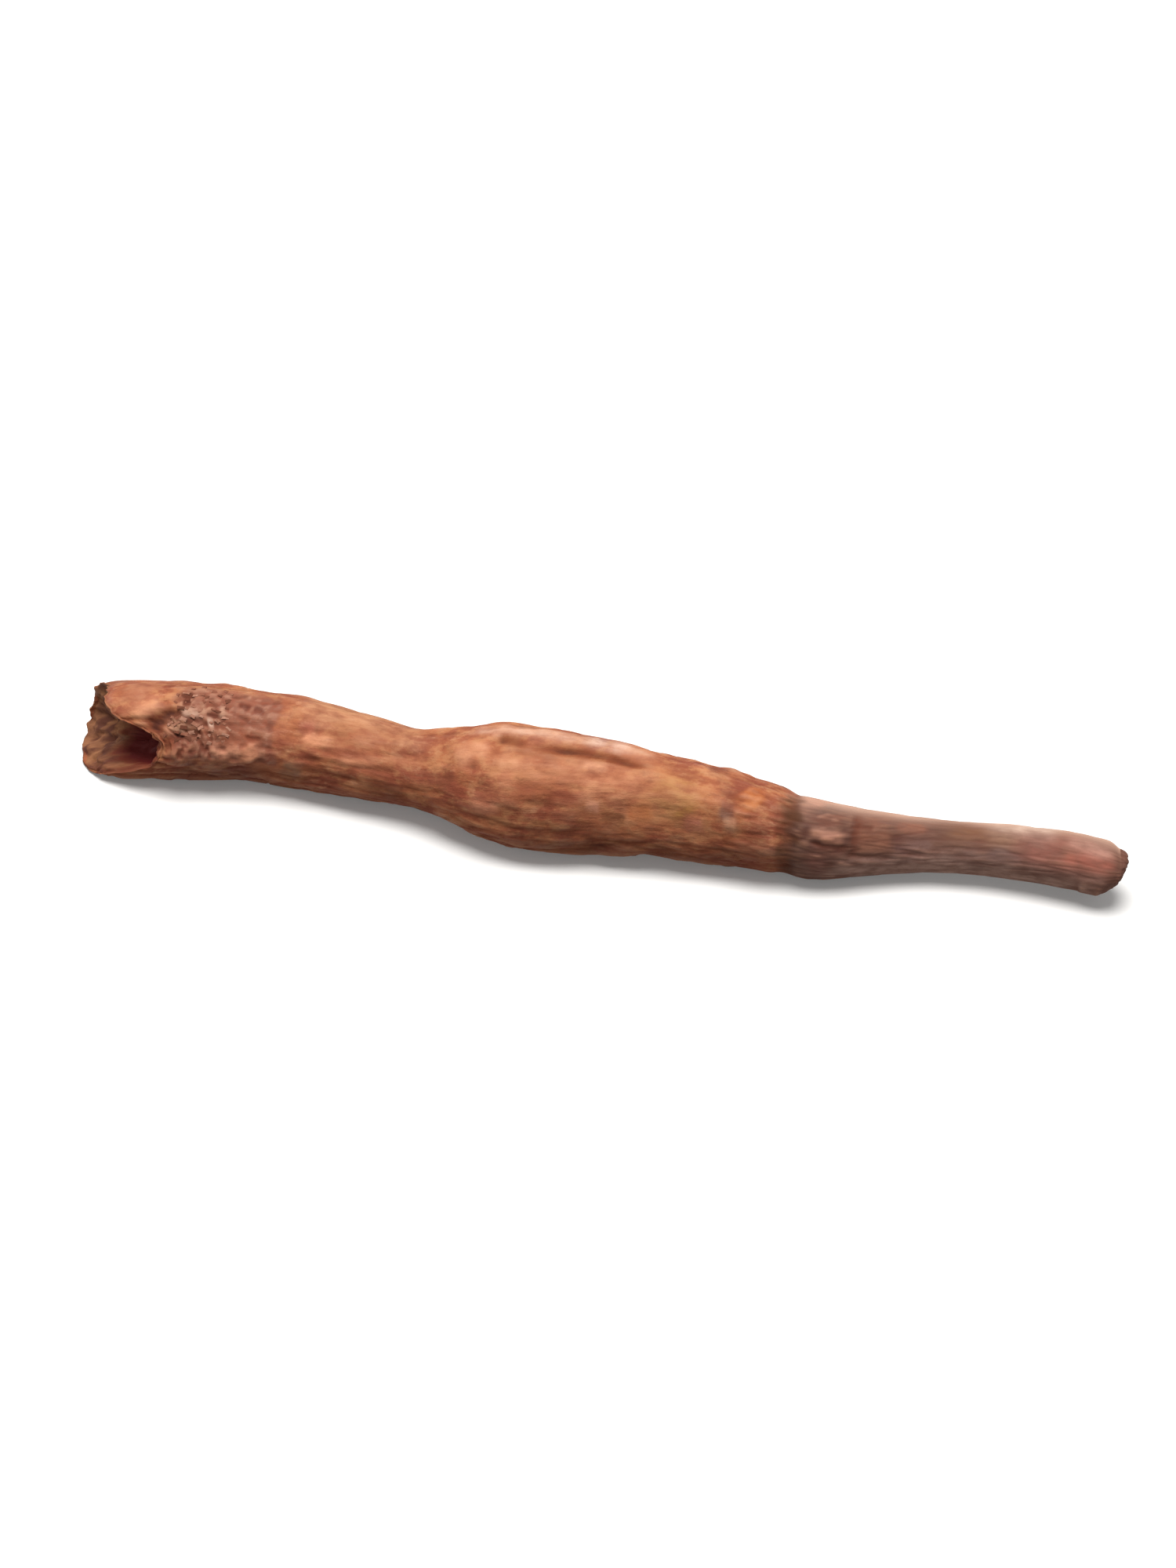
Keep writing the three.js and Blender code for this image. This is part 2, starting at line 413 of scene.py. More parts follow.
# what was drawn on the bark: mm along from the broken end, degrees round from the top
strokes = [
    # its path, its width and height in mm; a note holds for the rows below it too
    ([(0.5, -30), (2.5, -5), (4.5, 12)], 1.4, 0.2),  # swollen lip of the break
    ([(1.2, 38), (3.6, 28), (6, 15)], 0.8, 0.22),  # rolled edge of that lip
    ([(-0.2, 57), (2, 51), (4.2, 42), (5.8, 34), (7.6, 25)], 0.5, -0.55),  # crack under the lip
    ([(7.2, 38), (9.6, 36)], 0.3, -0.3),  # crack in the crust
    ([(7.6, 16), (8.5, 17)], 0.5, -0.4),  # pit in the crust
    ([(12.8, 14), (14.2, 17)], 0.24, -0.3),  # slit in the crust
    ([(14.3, 17), (15.5, 20)], 0.26, -0.32),
    ([(13.4, 53), (15.5, 54)], 0.24, -0.28),
    ([(1, 66), (3.2, 67)], 0.7, -0.35),  # torn hollow
    ([(7.4, 73), (9.2, 71)], 0.5, -0.25),
    ([(8.8, 72), (13.6, 71)], 0.9, 0.3),  # lumps below the crust
    ([(13.6, 60), (14.6, 84)], 1.1, 0.32),
    ([(0.6, 60), (4, 52), (8, 44)], 0.45, 0.14),  # torn strand
    ([(1, 80), (4.6, 76), (7.6, 66)], 0.5, 0.14),
    ([(2.4, 61), (5.6, 56), (9.2, 49)], 0.34, -0.26),  # gap between strands
    ([(34, -7), (40, -7), (47, -9), (54, -6)], 1, 0.24),  # ridge along the swelling
    ([(41.5, 10), (44, 10), (47, 8), (49.5, 9), (52.8, 14)], 0.4, -0.28),  # furrow under that ridge
    ([(38.2, 5), (41.6, 7)], 0.55, -0.2),  # knot at the furrow's start
    ([(34.6, 38), (36.2, 24), (38.4, 9)], 0.9, 0.2),  # shoulder lip
    ([(35.8, 44), (37.5, 28), (39.3, 14)], 0.5, -0.16),  # shoulder crease
    ([(40, 52), (44, 51), (47.6, 49)], 1, -0.16),  # hollow on the swelling
    ([(40.6, 67), (45, 63)], 0.8, -0.12),  # dent on the swelling
    ([(48.8, 75), (51.4, 73)], 0.7, -0.14),
    ([(47.4, 62), (48.8, 61)], 0.6, 0.1),  # bump on the swelling
    ([(51.2, 61), (54, 57)], 0.9, 0.12),
    ([(42.4, 36), (46.6, 31)], 0.4, -0.09),  # streak on the swelling
    ([(49.4, 42), (53.2, 36)], 0.4, -0.09),
    ([(18, 36), (24, 27)], 0.36, -0.12),  # waist wrinkle
    ([(19.4, 43), (22.6, 40)], 0.42, 0.12),
    ([(20.5, 55), (27, 46)], 0.36, -0.15),
    ([(17.6, 73), (22, 66)], 0.34, -0.15),
    ([(24, 67), (29.6, 58)], 0.36, -0.14),
    ([(19, 92), (26, 84)], 0.4, -0.16),
    ([(27, 36), (33, 27)], 0.4, -0.1),
    ([(29, 82), (35, 73)], 0.4, -0.14),
    ([(38, 108), (46, 104), (56, 108)], 0.9, -0.12),  # belly dent
    ([(42, 150), (50, 146), (58, 150)], 0.5, -0.3),  # belly furrow
    ([(59.4, 42), (61.2, 43)], 0.6, -0.16),  # rootlet scar
    ([(59.9, 58), (61.5, 57)], 0.6, 0.16),  # lip of that scar
    ([(56.4, 66), (58.4, 65)], 0.7, 0.1),  # bump by the scar
    ([(61.4, 10), (63.3, 24)], 1.2, 0.15),  # bump before the node
    ([(6, 205), (14, 214), (22, 210)], 0.38, -0.42),  # back fissure
    ([(20, 246), (30, 238), (38, 244)], 0.4, -0.42),
    ([(38, 286), (47, 280), (58, 288)], 0.4, -0.36),
    ([(44, 214), (52, 222), (62, 218)], 0.36, -0.38),
    ([(8, 300), (17, 306), (27, 300)], 0.32, -0.3),
    ([(67.6, 59), (71.9, 62)], 0.36, -0.22),  # slit in the collar
    ([(67.6, 41), (71.4, 46)], 0.6, 0.14),  # flake on the collar
    ([(68.8, 52), (71.3, 54)], 0.4, 0.12),
    ([(71.9, -20), (72.1, 40), (72, 90)], 0.4, -0.1),  # end of the collar
    ([(71.8, 21), (73.8, 25)], 0.28, -0.1),  # runner groove
    ([(70.6, 76), (76.2, 80)], 0.32, -0.14),
    ([(76, 64), (78.6, 78)], 0.3, -0.1),
    ([(83.6, 66), (88, 60)], 0.34, -0.09),
    ([(70, 200), (80, 208), (92, 202)], 0.3, -0.24),
    ([(74, 290), (82, 284), (91, 288)], 0.28, -0.2),
    ([(92.6, 118), (95, 124)], 1, 0.3),  # knob under the cut end
]

# how the bark is stained, rubbed, lit up and shaded along its length, laid over its own mottling in this
# order: painted highlights and painted shade among the stains
paintedMarks = [
    # its path, its width in mm, its colour, how much of it covers the bark
    ([(0.2, -46), (1.8, -16)], 2.0, "#92604A", 0.8),  # back of the lip, painted darker as shade
    ([(2.2, -10), (4.6, 10)], 2.2, "#B37456", 0.8),  # lip of the break, its salmon tone with painted shade over it
    ([(-0.1, -25), (0.2, 25)], 0.7, "#B97A6B", 0.6),  # pink edge of the lip
    ([(1.3, 39), (3.6, 28), (6, 14)], 0.75, "#E59C72", 0.85),  # painted highlight on the rolled edge
    ([(-0.4, 57), (2, 52), (4.2, 43), (5.8, 35), (7.8, 26)], 0.8, "#5E2412", 0.95),  # crack under the lip, painted dark as shade in it
    ([(0.5, 74), (8, 71)], 1.5, "#70362A", 0.65),  # red torn bark
    ([(1, 66), (3.2, 67)], 0.7, "#561A12", 0.85),  # torn hollow
    ([(7.4, 73), (9.2, 71)], 0.55, "#5E2418", 0.75),
    ([(3, 98), (10, 104), (17, 108)], 1.8, "#5E403A", 0.6),  # mauve underside
    ([(8.8, 72), (13.6, 71)], 0.9, "#D59274", 0.9),  # lumps below the crust
    ([(13.6, 60), (14.6, 84)], 1.1, "#E09672", 0.9),
    ([(0.6, 60), (4, 52), (8, 44)], 0.5, "#A0664C", 0.8),  # torn strand
    ([(1, 80), (4.6, 76), (7.6, 66)], 0.5, "#9A5A44", 0.7),
    ([(2.4, 61), (5.6, 56), (9.2, 49)], 0.4, "#58261A", 0.85),  # gap between strands
    ([(-0.4, 63), (2, 59), (4.4, 52)], 0.7, "#84402A", 0.8),  # torn edge under the lip
    ([(0.4, 55), (2, 52), (3.6, 46)], 0.6, "#4E1810", 0.9),  # painted shade deep in that crack
    ([(5.8, 61), (8.6, 58)], 0.9, "#6E4130", 0.7),  # brown torn bark
    ([(4.6, 45), (8.6, 44)], 1.1, "#62422F", 0.7),  # grey crust
    ([(9.5, 58), (15.2, 56)], 0.9, "#A85F42", 0.6),  # orange crust
    ([(8.6, 50), (13.2, 50)], 1, "#71412F", 0.65),  # shaded crust
    ([(7.5, 16), (8.6, 17)], 0.5, "#57291C", 0.85),  # pit in the crust
    ([(7.2, 38), (9.6, 36)], 0.36, "#552A1E", 0.8),  # crack in the crust
    ([(12.8, 14), (14.2, 17)], 0.3, "#66342A", 0.8),  # slit in the crust
    ([(14.3, 17), (15.5, 20)], 0.32, "#66342A", 0.8),
    ([(13.4, 53), (15.5, 54)], 0.28, "#86442E", 0.7),
    ([(10.5, 6), (10.6, 27)], 0.26, "#78442F", 0.7),  # brown seam
    ([(7.2, 28), (9.5, 29)], 0.36, "#D3A890", 0.85),  # pale fleck
    ([(9.7, 40), (10.5, 42)], 0.4, "#E4BCA4", 0.9),
    ([(9.5, 12), (9.6, 33)], 0.28, "#B88C70", 0.75),
    ([(11.5, 17), (11.4, 37)], 0.28, "#C4967C", 0.75),
    ([(4.4, 47), (6.6, 53)], 0.38, "#B88C74", 0.75),
    ([(16.2, 60), (16.5, 80)], 0.8, "#8E4B38", 0.6),  # end of the crust
    ([(17, -24), (25, -20), (33, -18)], 2.8, "#C68C66", 0.6),  # top of the waist
    ([(18.4, -4), (27, -3)], 1.6, "#D69C72", 0.6),  # light along the waist
    ([(21, 31), (28.4, 26)], 1.3, "#A05F42", 0.55),  # reddish side of the waist
    ([(18.6, 30), (20.8, 27)], 0.5, "#BC6A54", 0.65),  # pink streak
    ([(19.2, 43), (22.8, 40)], 0.5, "#E79D76", 0.85),  # bright streak
    ([(20.5, 55), (27, 46)], 0.45, "#96523A", 0.7),  # waist streak
    ([(24, 67), (29.6, 58)], 0.5, "#9A543C", 0.7),
    ([(22.6, 62), (27.6, 55)], 0.4, "#D58D68", 0.7),
    ([(27.5, 46), (32.5, 37)], 0.5, "#BC7652", 0.6),
    ([(17.4, 82), (19.6, 100)], 1.2, "#5C483E", 0.6),  # grey patch
    ([(25.5, 88), (30.5, 93)], 1.1, "#68341C", 0.7),  # dark patch
    ([(34.6, 38), (36.2, 24), (38.4, 9)], 0.8, "#DE9A74", 0.8),  # painted highlight on the shoulder lip
    ([(34.2, -5), (38, -4), (42, -6), (47, -8), (54.4, -5)], 0.6, "#E8BCA2", 0.8),  # pale ridge of the swelling, with a painted highlight along it
    ([(46.2, -8), (50.8, -8)], 0.8, "#F0D2BE", 0.55),  # painted highlight, brightest on the ridge
    ([(38.2, 5), (41.6, 7)], 0.7, "#82421E", 0.85),  # knot
    ([(37, 22), (46, 21), (55, 21)], 1.8, "#AF6C49", 0.65),  # salmon side
    ([(36, 44), (45, 39), (57, 42)], 1.8, "#D18D67", 0.55),  # light flank
    ([(49, 57), (57.8, 55)], 1.2, "#D8966C", 0.65),  # light below the flank
    ([(45, 71), (50, 71)], 0.9, "#C07C58", 0.55),  # light lower flank
    ([(38.6, 15), (44, 14), (49.8, 14)], 0.9, "#8E5234", 0.6),  # shade of the furrow
    ([(41.2, 10), (44, 10), (47, 8), (49.5, 9), (53.4, 14)], 0.5, "#7C3E1E", 0.9),  # furrow
    ([(46.4, 23), (49.2, 21)], 0.45, "#E6A680", 0.75),  # light streak
    ([(38.8, 33), (41.4, 28)], 0.55, "#DE9C74", 0.7),
    ([(39.6, 53), (44, 51), (47.6, 49)], 1, "#9A5038", 0.75),  # red band
    ([(43.4, 56), (47, 53)], 0.5, "#80402C", 0.65),  # red band's dark
    ([(36.2, 79), (39.8, 74)], 0.9, "#D28B6C", 0.7),  # salmon band
    ([(47.3, 62), (48.9, 61)], 0.55, "#DE987C", 0.75),  # pink spot
    ([(50.8, 63), (54, 57)], 1, "#C46E3E", 0.7),  # orange spot
    ([(48.6, 75), (51.4, 73)], 0.65, "#6A3A1E", 0.75),  # brown spot
    ([(54, 14), (55.6, 38), (56.4, 56)], 2.4, "#BE8652", 0.75),  # olive stain
    ([(56.2, 48), (56.8, 57)], 1.2, "#B68242", 0.6),
    ([(56.2, 67), (58.6, 65)], 0.8, "#B96E5E", 0.7),  # pink by the scar
    ([(59.4, 41), (61.2, 43)], 0.75, "#80635A", 0.75),  # grey of the scar
    ([(60, 58), (61.6, 57)], 0.7, "#B88E72", 0.75),  # pale lip of the scar
    ([(36, 114), (54, 108), (65, 100)], 2.6, "#4E2A1E", 0.6),  # painted shade along the belly
    ([(60, 84), (65, 78)], 1.5, "#643822", 0.5),  # shade before the node
    ([(59.8, 81), (61.6, 78)], 0.65, "#70381C", 0.75),  # dark spot
    ([(61.4, 6), (63.4, 26)], 1.4, "#C6743E", 0.7),  # orange before the node
    ([(65, -36), (69.5, -14)], 1.8, "#D29A82", 0.7),  # painted highlight on the top of the node
    ([(65.5, 4), (65.9, 22), (66.3, 40)], 1, "#5A3620", 0.9),  # node stain
    ([(66.6, 42), (67.3, 60)], 1.2, "#4C2820", 0.9),
    ([(65.6, 66), (66.2, 92)], 1.6, "#563E38", 0.8),
    ([(66.8, 104), (66.4, 132)], 1.4, "#38180F", 0.8),
    ([(69.4, 8), (69.8, 34)], 1.3, "#855240", 0.6),  # brown collar
    ([(67.6, 41), (71.4, 46)], 0.5, "#B07C68", 0.9),  # flake on the collar
    ([(68.8, 52), (71.3, 54)], 0.45, "#AE7664", 0.9),
    ([(67.6, 59), (71.9, 62)], 0.5, "#4C221A", 0.9),  # slit in the collar
    ([(71.8, -5), (72, 40), (72, 72)], 0.35, "#663729", 0.7),  # end of the collar
    ([(75.9, 28), (76.2, 84)], 0.4, "#573434", 0.6),  # old ring
    ([(69, 70), (69.2, 125)], 0.9, "#7E483E", 0.6),  # red under the collar
    ([(71.6, 50), (75.8, 44)], 2.2, "#905A44", 0.6),  # warm bark
    ([(71.8, 21), (73.8, 25)], 0.45, "#6A3B2A", 0.7),  # runner groove
    ([(70.6, 76), (76.2, 80)], 0.5, "#563024", 0.7),
    ([(75.2, 12), (78.6, 18)], 0.55, "#A0624A", 0.5),  # rusty spot
    ([(75.6, 50), (79.6, 46)], 0.5, "#81625A", 0.6),  # ashy streak
    ([(79.6, 72), (85, 64)], 0.55, "#7C5D55", 0.6),
    ([(76, 34), (84, 42), (90, 66)], 1.3, "#5E4038", 0.5),  # dull side
    ([(76, 64), (78.4, 78)], 0.5, "#563532", 0.65),  # dark groove
    ([(78.4, 18), (83, 30)], 1.2, "#68483A", 0.65),  # dull brown
    ([(79, 15), (88.4, 22)], 0.9, "#84593E", 0.65),  # tan-brown
    ([(83.8, 64), (87.8, 61)], 0.7, "#5C4543", 0.65),  # purple streak
    ([(85.5, 32), (94.5, 40)], 1.8, "#99594B", 0.6),  # reddening
    ([(90.6, 26), (92.8, 40)], 0.7, "#84604A", 0.5),  # dull brown
    ([(90.5, 36), (95.8, 40)], 1.2, "#AC5B49", 0.6),  # red end
    ([(90.6, 12), (95.8, 14)], 0.8, "#C49684", 0.55),  # pale by the cut end
    ([(90.8, 92), (95.8, 94)], 1.1, "#A47A6C", 0.6),  # pale under the cut end
    ([(66, 118), (80, 122), (97, 126)], 1.8, "#C29C8E", 0.9),  # paler underside: painted light thrown up from below
    ([(20, 236), (28, 244), (34, 240)], 1.6, "#C88E6A", 0.5),  # pale back of the waist
    ([(42, 250), (50, 262), (58, 256)], 2.2, "#964E38", 0.45),  # red back of the swelling
    ([(38, 200), (48, 206), (60, 198)], 1.8, "#BE8460", 0.45),  # tan back of the swelling
    ([(3, 232), (9, 240), (15, 236)], 2, "#7C4A38", 0.45),  # brown back of the break
    ([(72, 228), (80, 236), (90, 230)], 1.1, "#946A56", 0.5),  # tan back of the runner
    ([(66.2, 262), (72.4, 256)], 1.2, "#A0583C", 0.6),  # rusty bark past the node
    ([(66.2, 302), (70, 306)], 0.9, "#A8603F", 0.55),
    ([(66.4, 226), (73.5, 220)], 1, "#955038", 0.6),
    ([(73, 282), (85, 274)], 0.5, "#54342A", 0.7),  # dark streak of the runner
    ([(83, -38), (91, -30)], 1.6, "#E2C4B0", 0.7),  # painted highlight, cream, on the top of the runner
]

# rootlets that broke off and left scars on the back and the underside
rootletScars = [
    # mm along, degrees round, mm across
    {"along": 47, "around": 158, "size": 0.8},
    {"along": 33, "around": 262, "size": 0.9},
    {"along": 61, "around": 326, "size": 0.7},
    {"along": 12.5, "around": 256, "size": 0.85},
    {"along": 77, "around": 250, "size": 0.5},
]

crustPatch = {
    # degrees round, and at how many mm along it starts there
    "leftEdge": ([-60, 0, 25, 35, 45, 55, 90], [9, 7.2, 7.0, 5.6, 4.4, 3.4, 3.0]),
    "rightEdge": 16.8,                       # mm along, where it ends abruptly
    "top": -4, "bottom": 84,                 # degrees round
    "crumbled": 12,                          # mm along, past which it lies smoother
    "chipLength": 0.75, "chipWidth": 0.5,    # mm
    "step": 0.09, "tilt": 0.15,              # mm between neighbours, and across one
    "slit": 0.2,                             # mm, how deep the gaps go that run along the root
}


def crustChips(patch):
    # bark crumbled into small tilted chips behind the broken rim, with dark gaps that run along the root
    height, pale = np.zeros(skin.count), np.zeros(skin.count)
    warp = [skin.noise(1.6, 1.1, seed) * 0.5 + skin.noise(0.7, 0.5, seed + 3) * 0.25
            for seed in (41, 42, 43)]
    border = 1.0 * skin.noise(3.0, 1.8, 48) + 0.5 * skin.noise(1.2, 0.8, 49)
    leftEdge = np.interp(turned(skin.around, 0), *patch["leftEdge"])
    cover = rise(-0.5, 0.7, skin.along - leftEdge + border) * (skin.face == 0)
    cover *= 1 - rise(-0.3, 0.3, skin.along - patch["rightEdge"] + 0.5 * border)
    cover *= zone(turned(skin.around, 0) + 10 * border, patch["top"], patch["bottom"], 7)
    loose = 1 - 0.6 * rise(-1.5, 1.5, skin.along - patch["crumbled"])
    for i in np.nonzero(cover > 0)[0]:
        x, y, z = skin.grain[i]
        spot = Vector(((x + warp[0][i]) / patch["chipLength"], (y + warp[1][i]) / patch["chipWidth"],
                       (z + warp[2][i]) / patch["chipWidth"]))
        cells = noise.voronoi(spot)[1]
        chance = noise.cell(cells[0] * 7.1)
        lean = noise.cell_vector(cells[0] * 5.3)
        tilted = patch["tilt"] * lean.dot(spot - cells[0])
        height[i] = cover[i] * loose[i] * (patch["step"] * chance + tilted)
        pale[i] = cover[i] * max(chance, 0)
    slits = rise(0.22, 0.4, skin.noise(1.7, 0.5, 46) + 0.35 * skin.noise(0.6, 0.4, 47)) * cover * loose
    return skin.blurred(height - patch["slit"] * slits, 2), pale * (1 - slits), slits, cover


print("measuring the bark's grain")
barkGrain = {
    # smooth noise: mm long, mm wide, its seed, and by how many degrees a mm it winds round
    "lumps": (7, 3.6, 1),
    "knobs": (3.2, 2.2, 15),
    "bumps": (1.5, 1.2, 17),
    "folds": (15, 2.3, 2, 0.5),
    "creases": (6, 0.95, 3, -0.6),
    "creased": (9, 4, 6),             # where the creases lie thickest
    "fine": (3.2, 0.5, 4),
    "dashes": (2.2, 0.6, 5),
    "crossCracks": (0.9, 3.2, 7),
    "crossed": (4, 2.0, 8),           # where the bark is cracked across
    "pressure": (2.2, 1.4, 9),        # how strongly a drawn stroke comes out
    "wobble": (30, 1.5, 10),
    "smallWobble": (1.2, 0.9, 18),
    "dip": (30, 2.2, 16),
    "scales": (2.8, 0.6, 11),
    "smallScales": (0.9, 0.4, 12),
    "runnerGrain": (15, 0.95, 13),
    "runnerFine": (7, 0.42, 14),
}
barkRelief = {
    # mm high or deep; a furrow has its height, where its ridges are cut off, and how deep it is set
    "lumps": 0.2, "knobs": 0.16, "bumps": 0.05,
    "folds": (0.5, 0.5, 0.12),
    "creases": (0.4, 0.35, 0.07),
    "fine": (0.17, 0.3, 0.02),
    "runnerGrain": (0.08, 0.4, 0.01),
    "runnerFine": (0.02, 0.3, 0),
    "pits": 0.2, "crossCracks": 0.12,
    "scarRim": 0.15, "scarPit": 0.24,
    "nodeDip": 0.16, "collar": 0.12, "scales": 0.06,
    "wornRim": 0.18,
}
barkAreas = {
    # mm along from and to, with how softly it ends, and the same in degrees from where it faces
    "swelling": {"along": (33, 62, 3), "faces": 40, "round": (-60, 52, 14)},
    "waist": {"along": (15, 33, 3), "faces": 40, "round": (-80, 60, 14)},
    "lip": {"along": (-2, 6.4, 0.8), "faces": -10, "round": (-60, 44, 10)},
}
oldNode = {
    "along": 66.0,                    # mm, where the thick root steps down to its runner
    "halfWidth": 0.9, "strays": 0.8,
    "stain": (-0.8, 0.9, 0.4),        # mm from it, where its stain starts and ends, and how softly
    "scales": (67.6, 71.8, 0.9),      # where thin scales of bark still cling, and how softly that ends
    "collar": (68.5, 73.5),           # where the swollen collar runs out
}
runnerEnd = 96.0                      # mm along
front = 30                            # degrees round, where the smooth side faces


def area(place):
    return zone(skin.along, *place["along"]) * zone(turned(skin.around, place["faces"]), *place["round"])


def atLeast(low, mask):
    return low + (1 - low) * mask


def furrows(name, stirred=0):
    # sharp valleys between flattened ridges
    height, cutOff, depth = barkRelief[name]
    return height * np.minimum(np.abs(grains[name] + stirred), cutOff) - depth


grains = {name: skin.noise(*shape) for name, shape in barkGrain.items()}
skinZone = (skin.face == 0).astype(float)
fromFront = np.abs(turned(skin.around, front))
thick = 1 - rise(64, 68, skin.along)                      # 1 on the thick root, 0 on the runner
swelling, waist, lip = (area(place) for place in barkAreas.values())
calm = 1 - np.maximum(0.7 * swelling + 0.55 * waist, 0.8 * lip)   # low where the bark is worn smooth
roughSide = atLeast(0.4, rise(60, 110, fromFront))
creased = rise(-0.25, 0.35, grains["creased"])

relief = sum(barkRelief[name] * grains[name] for name in ("lumps", "knobs", "bumps"))
relief *= atLeast(0.35, thick) * (1 - 0.6 * lip)
relief += furrows("folds", 0.25 * grains["knobs"]) * calm * thick
relief += furrows("creases", 0.2 * grains["knobs"]) * calm * atLeast(0.35, creased) * thick
relief += furrows("fine") * atLeast(0.4, calm)
pits = rise(0.2, 0.5, grains["dashes"]) * atLeast(0.25, creased)
crossCracks = (1 - rise(0, 0.06, np.abs(grains["crossCracks"]))) * rise(0.1, 0.4, grains["crossed"])
relief -= (barkRelief["pits"] * pits + barkRelief["crossCracks"] * crossCracks) * calm * roughSide * thick

pressure = np.clip(0.85 + 0.55 * grains["pressure"], 0.2, 1.4)
for path, width, height in strokes:
    relief += height * skin.stroke(path, width) * pressure

for scar in rootletScars:
    away = np.hypot((skin.along - scar["along"]) / 1.7,
                    np.radians(turned(skin.around, scar["around"])) * skin.radius) / scar["size"]
    away = away + 0.8 * grains["dashes"] + 0.5 * grains["knobs"]
    raised = barkRelief["scarRim"] * bell((away - 1.1) / 0.5) * np.clip(0.5 + 1.6 * grains["bumps"], 0, 1.2)
    relief += (raised - barkRelief["scarPit"] * bell(away / 0.6)) * skinZone

chipHeight, chipPale, chipHole, crust = crustChips(crustPatch)
relief = relief * (1 - 0.3 * crust) + chipHeight

# the node: a shallow dip stained dark, then a collar where thin scales of bark still cling
wobble = grains["wobble"] + 0.5 * grains["smallWobble"]
ringAway = skin.along - oldNode["along"] - oldNode["strays"] * wobble
dip = bell(ringAway / oldNode["halfWidth"]) * (0.6 + 0.5 * grains["dip"])
scaleNoise = grains["scales"] + 0.4 * grains["smallScales"]
scales = rise(0.15, 0.5, scaleNoise) * zone(skin.along, *oldNode["scales"]) * skinZone
runner = skinZone * rise(oldNode["along"], oldNode["along"] + 1.2, skin.along)
collar = runner * (1 - rise(*oldNode["collar"], skin.along))
relief += barkRelief["collar"] * collar + barkRelief["scales"] * scales
relief -= barkRelief["nodeDip"] * skinZone * dip
relief += runner * (furrows("runnerGrain") + furrows("runnerFine"))
relief -= barkRelief["wornRim"] * skinZone * bell(skin.along / 0.9)      # bark worn thin towards the break

# the broken face: torn fibres, with a rotted hollow nearer its front
brokenEnd = {
    "coarse": (1.5, 3.3), "fine": (0.55, 8.8),     # mm across the torn fibres, and a seed
    "coarseFade": 4.5, "fineFade": 1.3,            # mm, how far along the bark they pull it
    "coarsePull": 0.38,                            # mm
    "faceFine": 0.2, "faceCoarse": 0.45,           # mm, how deep the face is torn
    "ragged": 0.26, "raggedLip": 0.5,              # mm, how far fibres stand out of the rim
    "lipFaces": 25, "lipSpread": 45,               # degrees round
    "rotFaces": 80, "rotOut": 1.3,                 # degrees round, mm from the core
    "rotEdge": (1.7, 3.0), "rotDepth": 1.9,        # mm
}
brokenFace = np.clip(-skin.face, 0, 1)
cutFace = np.clip(skin.face, 0, 1)
across = np.stack([skin.grain[:, 1], skin.grain[:, 2]], 1)


def torn(size, seed):
    return np.array([noise.noise(Vector((y / size, z / size, seed))) for y, z in across.tolist()])


tearCoarse, tearFine = torn(*brokenEnd["coarse"]), torn(*brokenEnd["fine"])
inFace = rise(0, 0.02, brokenFace)
pastRim = np.maximum(skin.along, 0)
nearBreak = np.maximum(inFace, bell(pastRim / brokenEnd["coarseFade"]))
rimOnly = np.maximum(inFace, bell(pastRim / brokenEnd["fineFade"]))
rotSpot = outward(math.radians(brokenEnd["rotFaces"])) * brokenEnd["rotOut"]
rotAway = np.hypot(across[:, 0] - rotSpot.y, across[:, 1] - rotSpot.z) + 0.8 * tearCoarse + 0.3 * tearFine
rot = (1 - rise(*brokenEnd["rotEdge"], rotAway)) * rise(0.03, 0.14, brokenFace)
fromLip = turned(skin.around, brokenEnd["lipFaces"])
ragged = brokenEnd["ragged"] + brokenEnd["raggedLip"] * bell(fromLip / brokenEnd["lipSpread"])
pull = nearBreak * brokenEnd["coarsePull"] * tearCoarse + rimOnly * ragged * tearFine
pull += brokenEnd["rotDepth"] * rot
tearDepth = brokenEnd["faceFine"] * tearFine + brokenEnd["faceCoarse"] * tearCoarse
pull += rise(0.03, 0.2, brokenFace) * (1 - rot) * tearDepth

# the cut face: a shallow saw-flat disc with a sunken pith and a few drying checks
cutEnd = {
    "saw": 0.1, "pith": 0.25, "checks": 0.15, "wornRim": 0.15,     # mm deep
    "pithSize": 0.24, "checkReach": (0.22, 0.8, 0.1),              # shares of the radius
    "checkCount": 3, "checkWidth": 0.1,
    "rimWidth": 0.5,                                               # mm along, how far the rim is worn
    "taper": 0.13, "taperOver": 1.3,                               # a share of the radius, and mm along
}
inCut = rise(0, 0.05, cutFace)
pith = bell((1 - cutFace) / cutEnd["pithSize"]) * inCut
spread = np.sin(np.radians(skin.around) * (cutEnd["checkCount"] / 2) + 0.7)
checks = bell(spread / cutEnd["checkWidth"]) * zone(1 - cutFace, *cutEnd["checkReach"]) * inCut
wornRim = bell((runnerEnd - skin.along) / cutEnd["rimWidth"]) * (skin.face >= 0) * bell(cutFace / 0.2)
pull -= cutEnd["saw"] * rise(0, 0.02, cutFace) * (tearFine + tearCoarse)
pull -= cutEnd["pith"] * pith + cutEnd["checks"] * checks + cutEnd["wornRim"] * wornRim

places = np.empty(skin.count * 3)
normals = np.empty(skin.count * 3)
root.data.vertices.foreach_get("co", places)
root.data.vertex_normals.foreach_get("vector", normals)
places, normals = places.reshape(-1, 3), normals.reshape(-1, 3)
places += normals * (relief * mm)[:, None]
core = np.array([solid.centre(x)[:] for x in places[:, 0]])
taper = cutEnd["taper"] * rise(runnerEnd - cutEnd["taperOver"], runnerEnd + 0.1, skin.along)[:, None]
places[:, 1:] -= (places[:, 1:] - core[:, 1:]) * taper
places[:, 0] += pull * mm
places[:, 2] = np.maximum(places[:, 2], 0)
root.data.vertices.foreach_set("co", places.ravel())
root.data.update()
